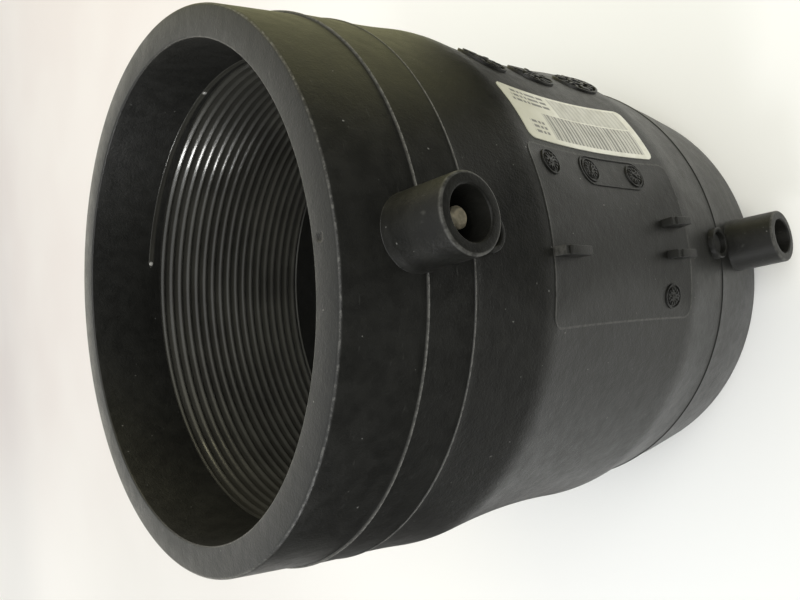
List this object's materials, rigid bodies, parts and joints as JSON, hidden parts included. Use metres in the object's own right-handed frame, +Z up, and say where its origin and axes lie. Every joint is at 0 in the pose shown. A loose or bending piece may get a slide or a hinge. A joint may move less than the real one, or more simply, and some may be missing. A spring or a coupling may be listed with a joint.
{
  "type": "electrofusion coupler",
  "caption": "Straight black pipe coupler with an open bore, ridged heating windings inside, and two shrouded contact pins beside small round indicators on its wall.",
  "frame": {"origin": "on the bore axis, in the plane of the lower mouth, on which the coupler stands", "axes": "+Z up along the bore towards the upper mouth, -Y the way both contact pins point, +X to the right of them seen from outside"},
  "size_m": [0.1366, 0.1467, 0.159],
  "materials": {
    "body": "black polyethylene with a fine spark-eroded grain, scuffed along its edges",
    "winding": "smooth glossy skin over wire",
    "contact": "dull, slightly oxidised",
    "indicator": "plain black",
    "label": "white self-adhesive film with grey bars"
  },
  "bodies": {
    "root": {"body": "body", "heating_wire": "winding", "contact_pin_upper": "contact", "contact_pin_lower": "contact", "indicator_pin_upper": "indicator", "indicator_pin_lower": "indicator", "label": "label"}
  },
  "joints": []
}
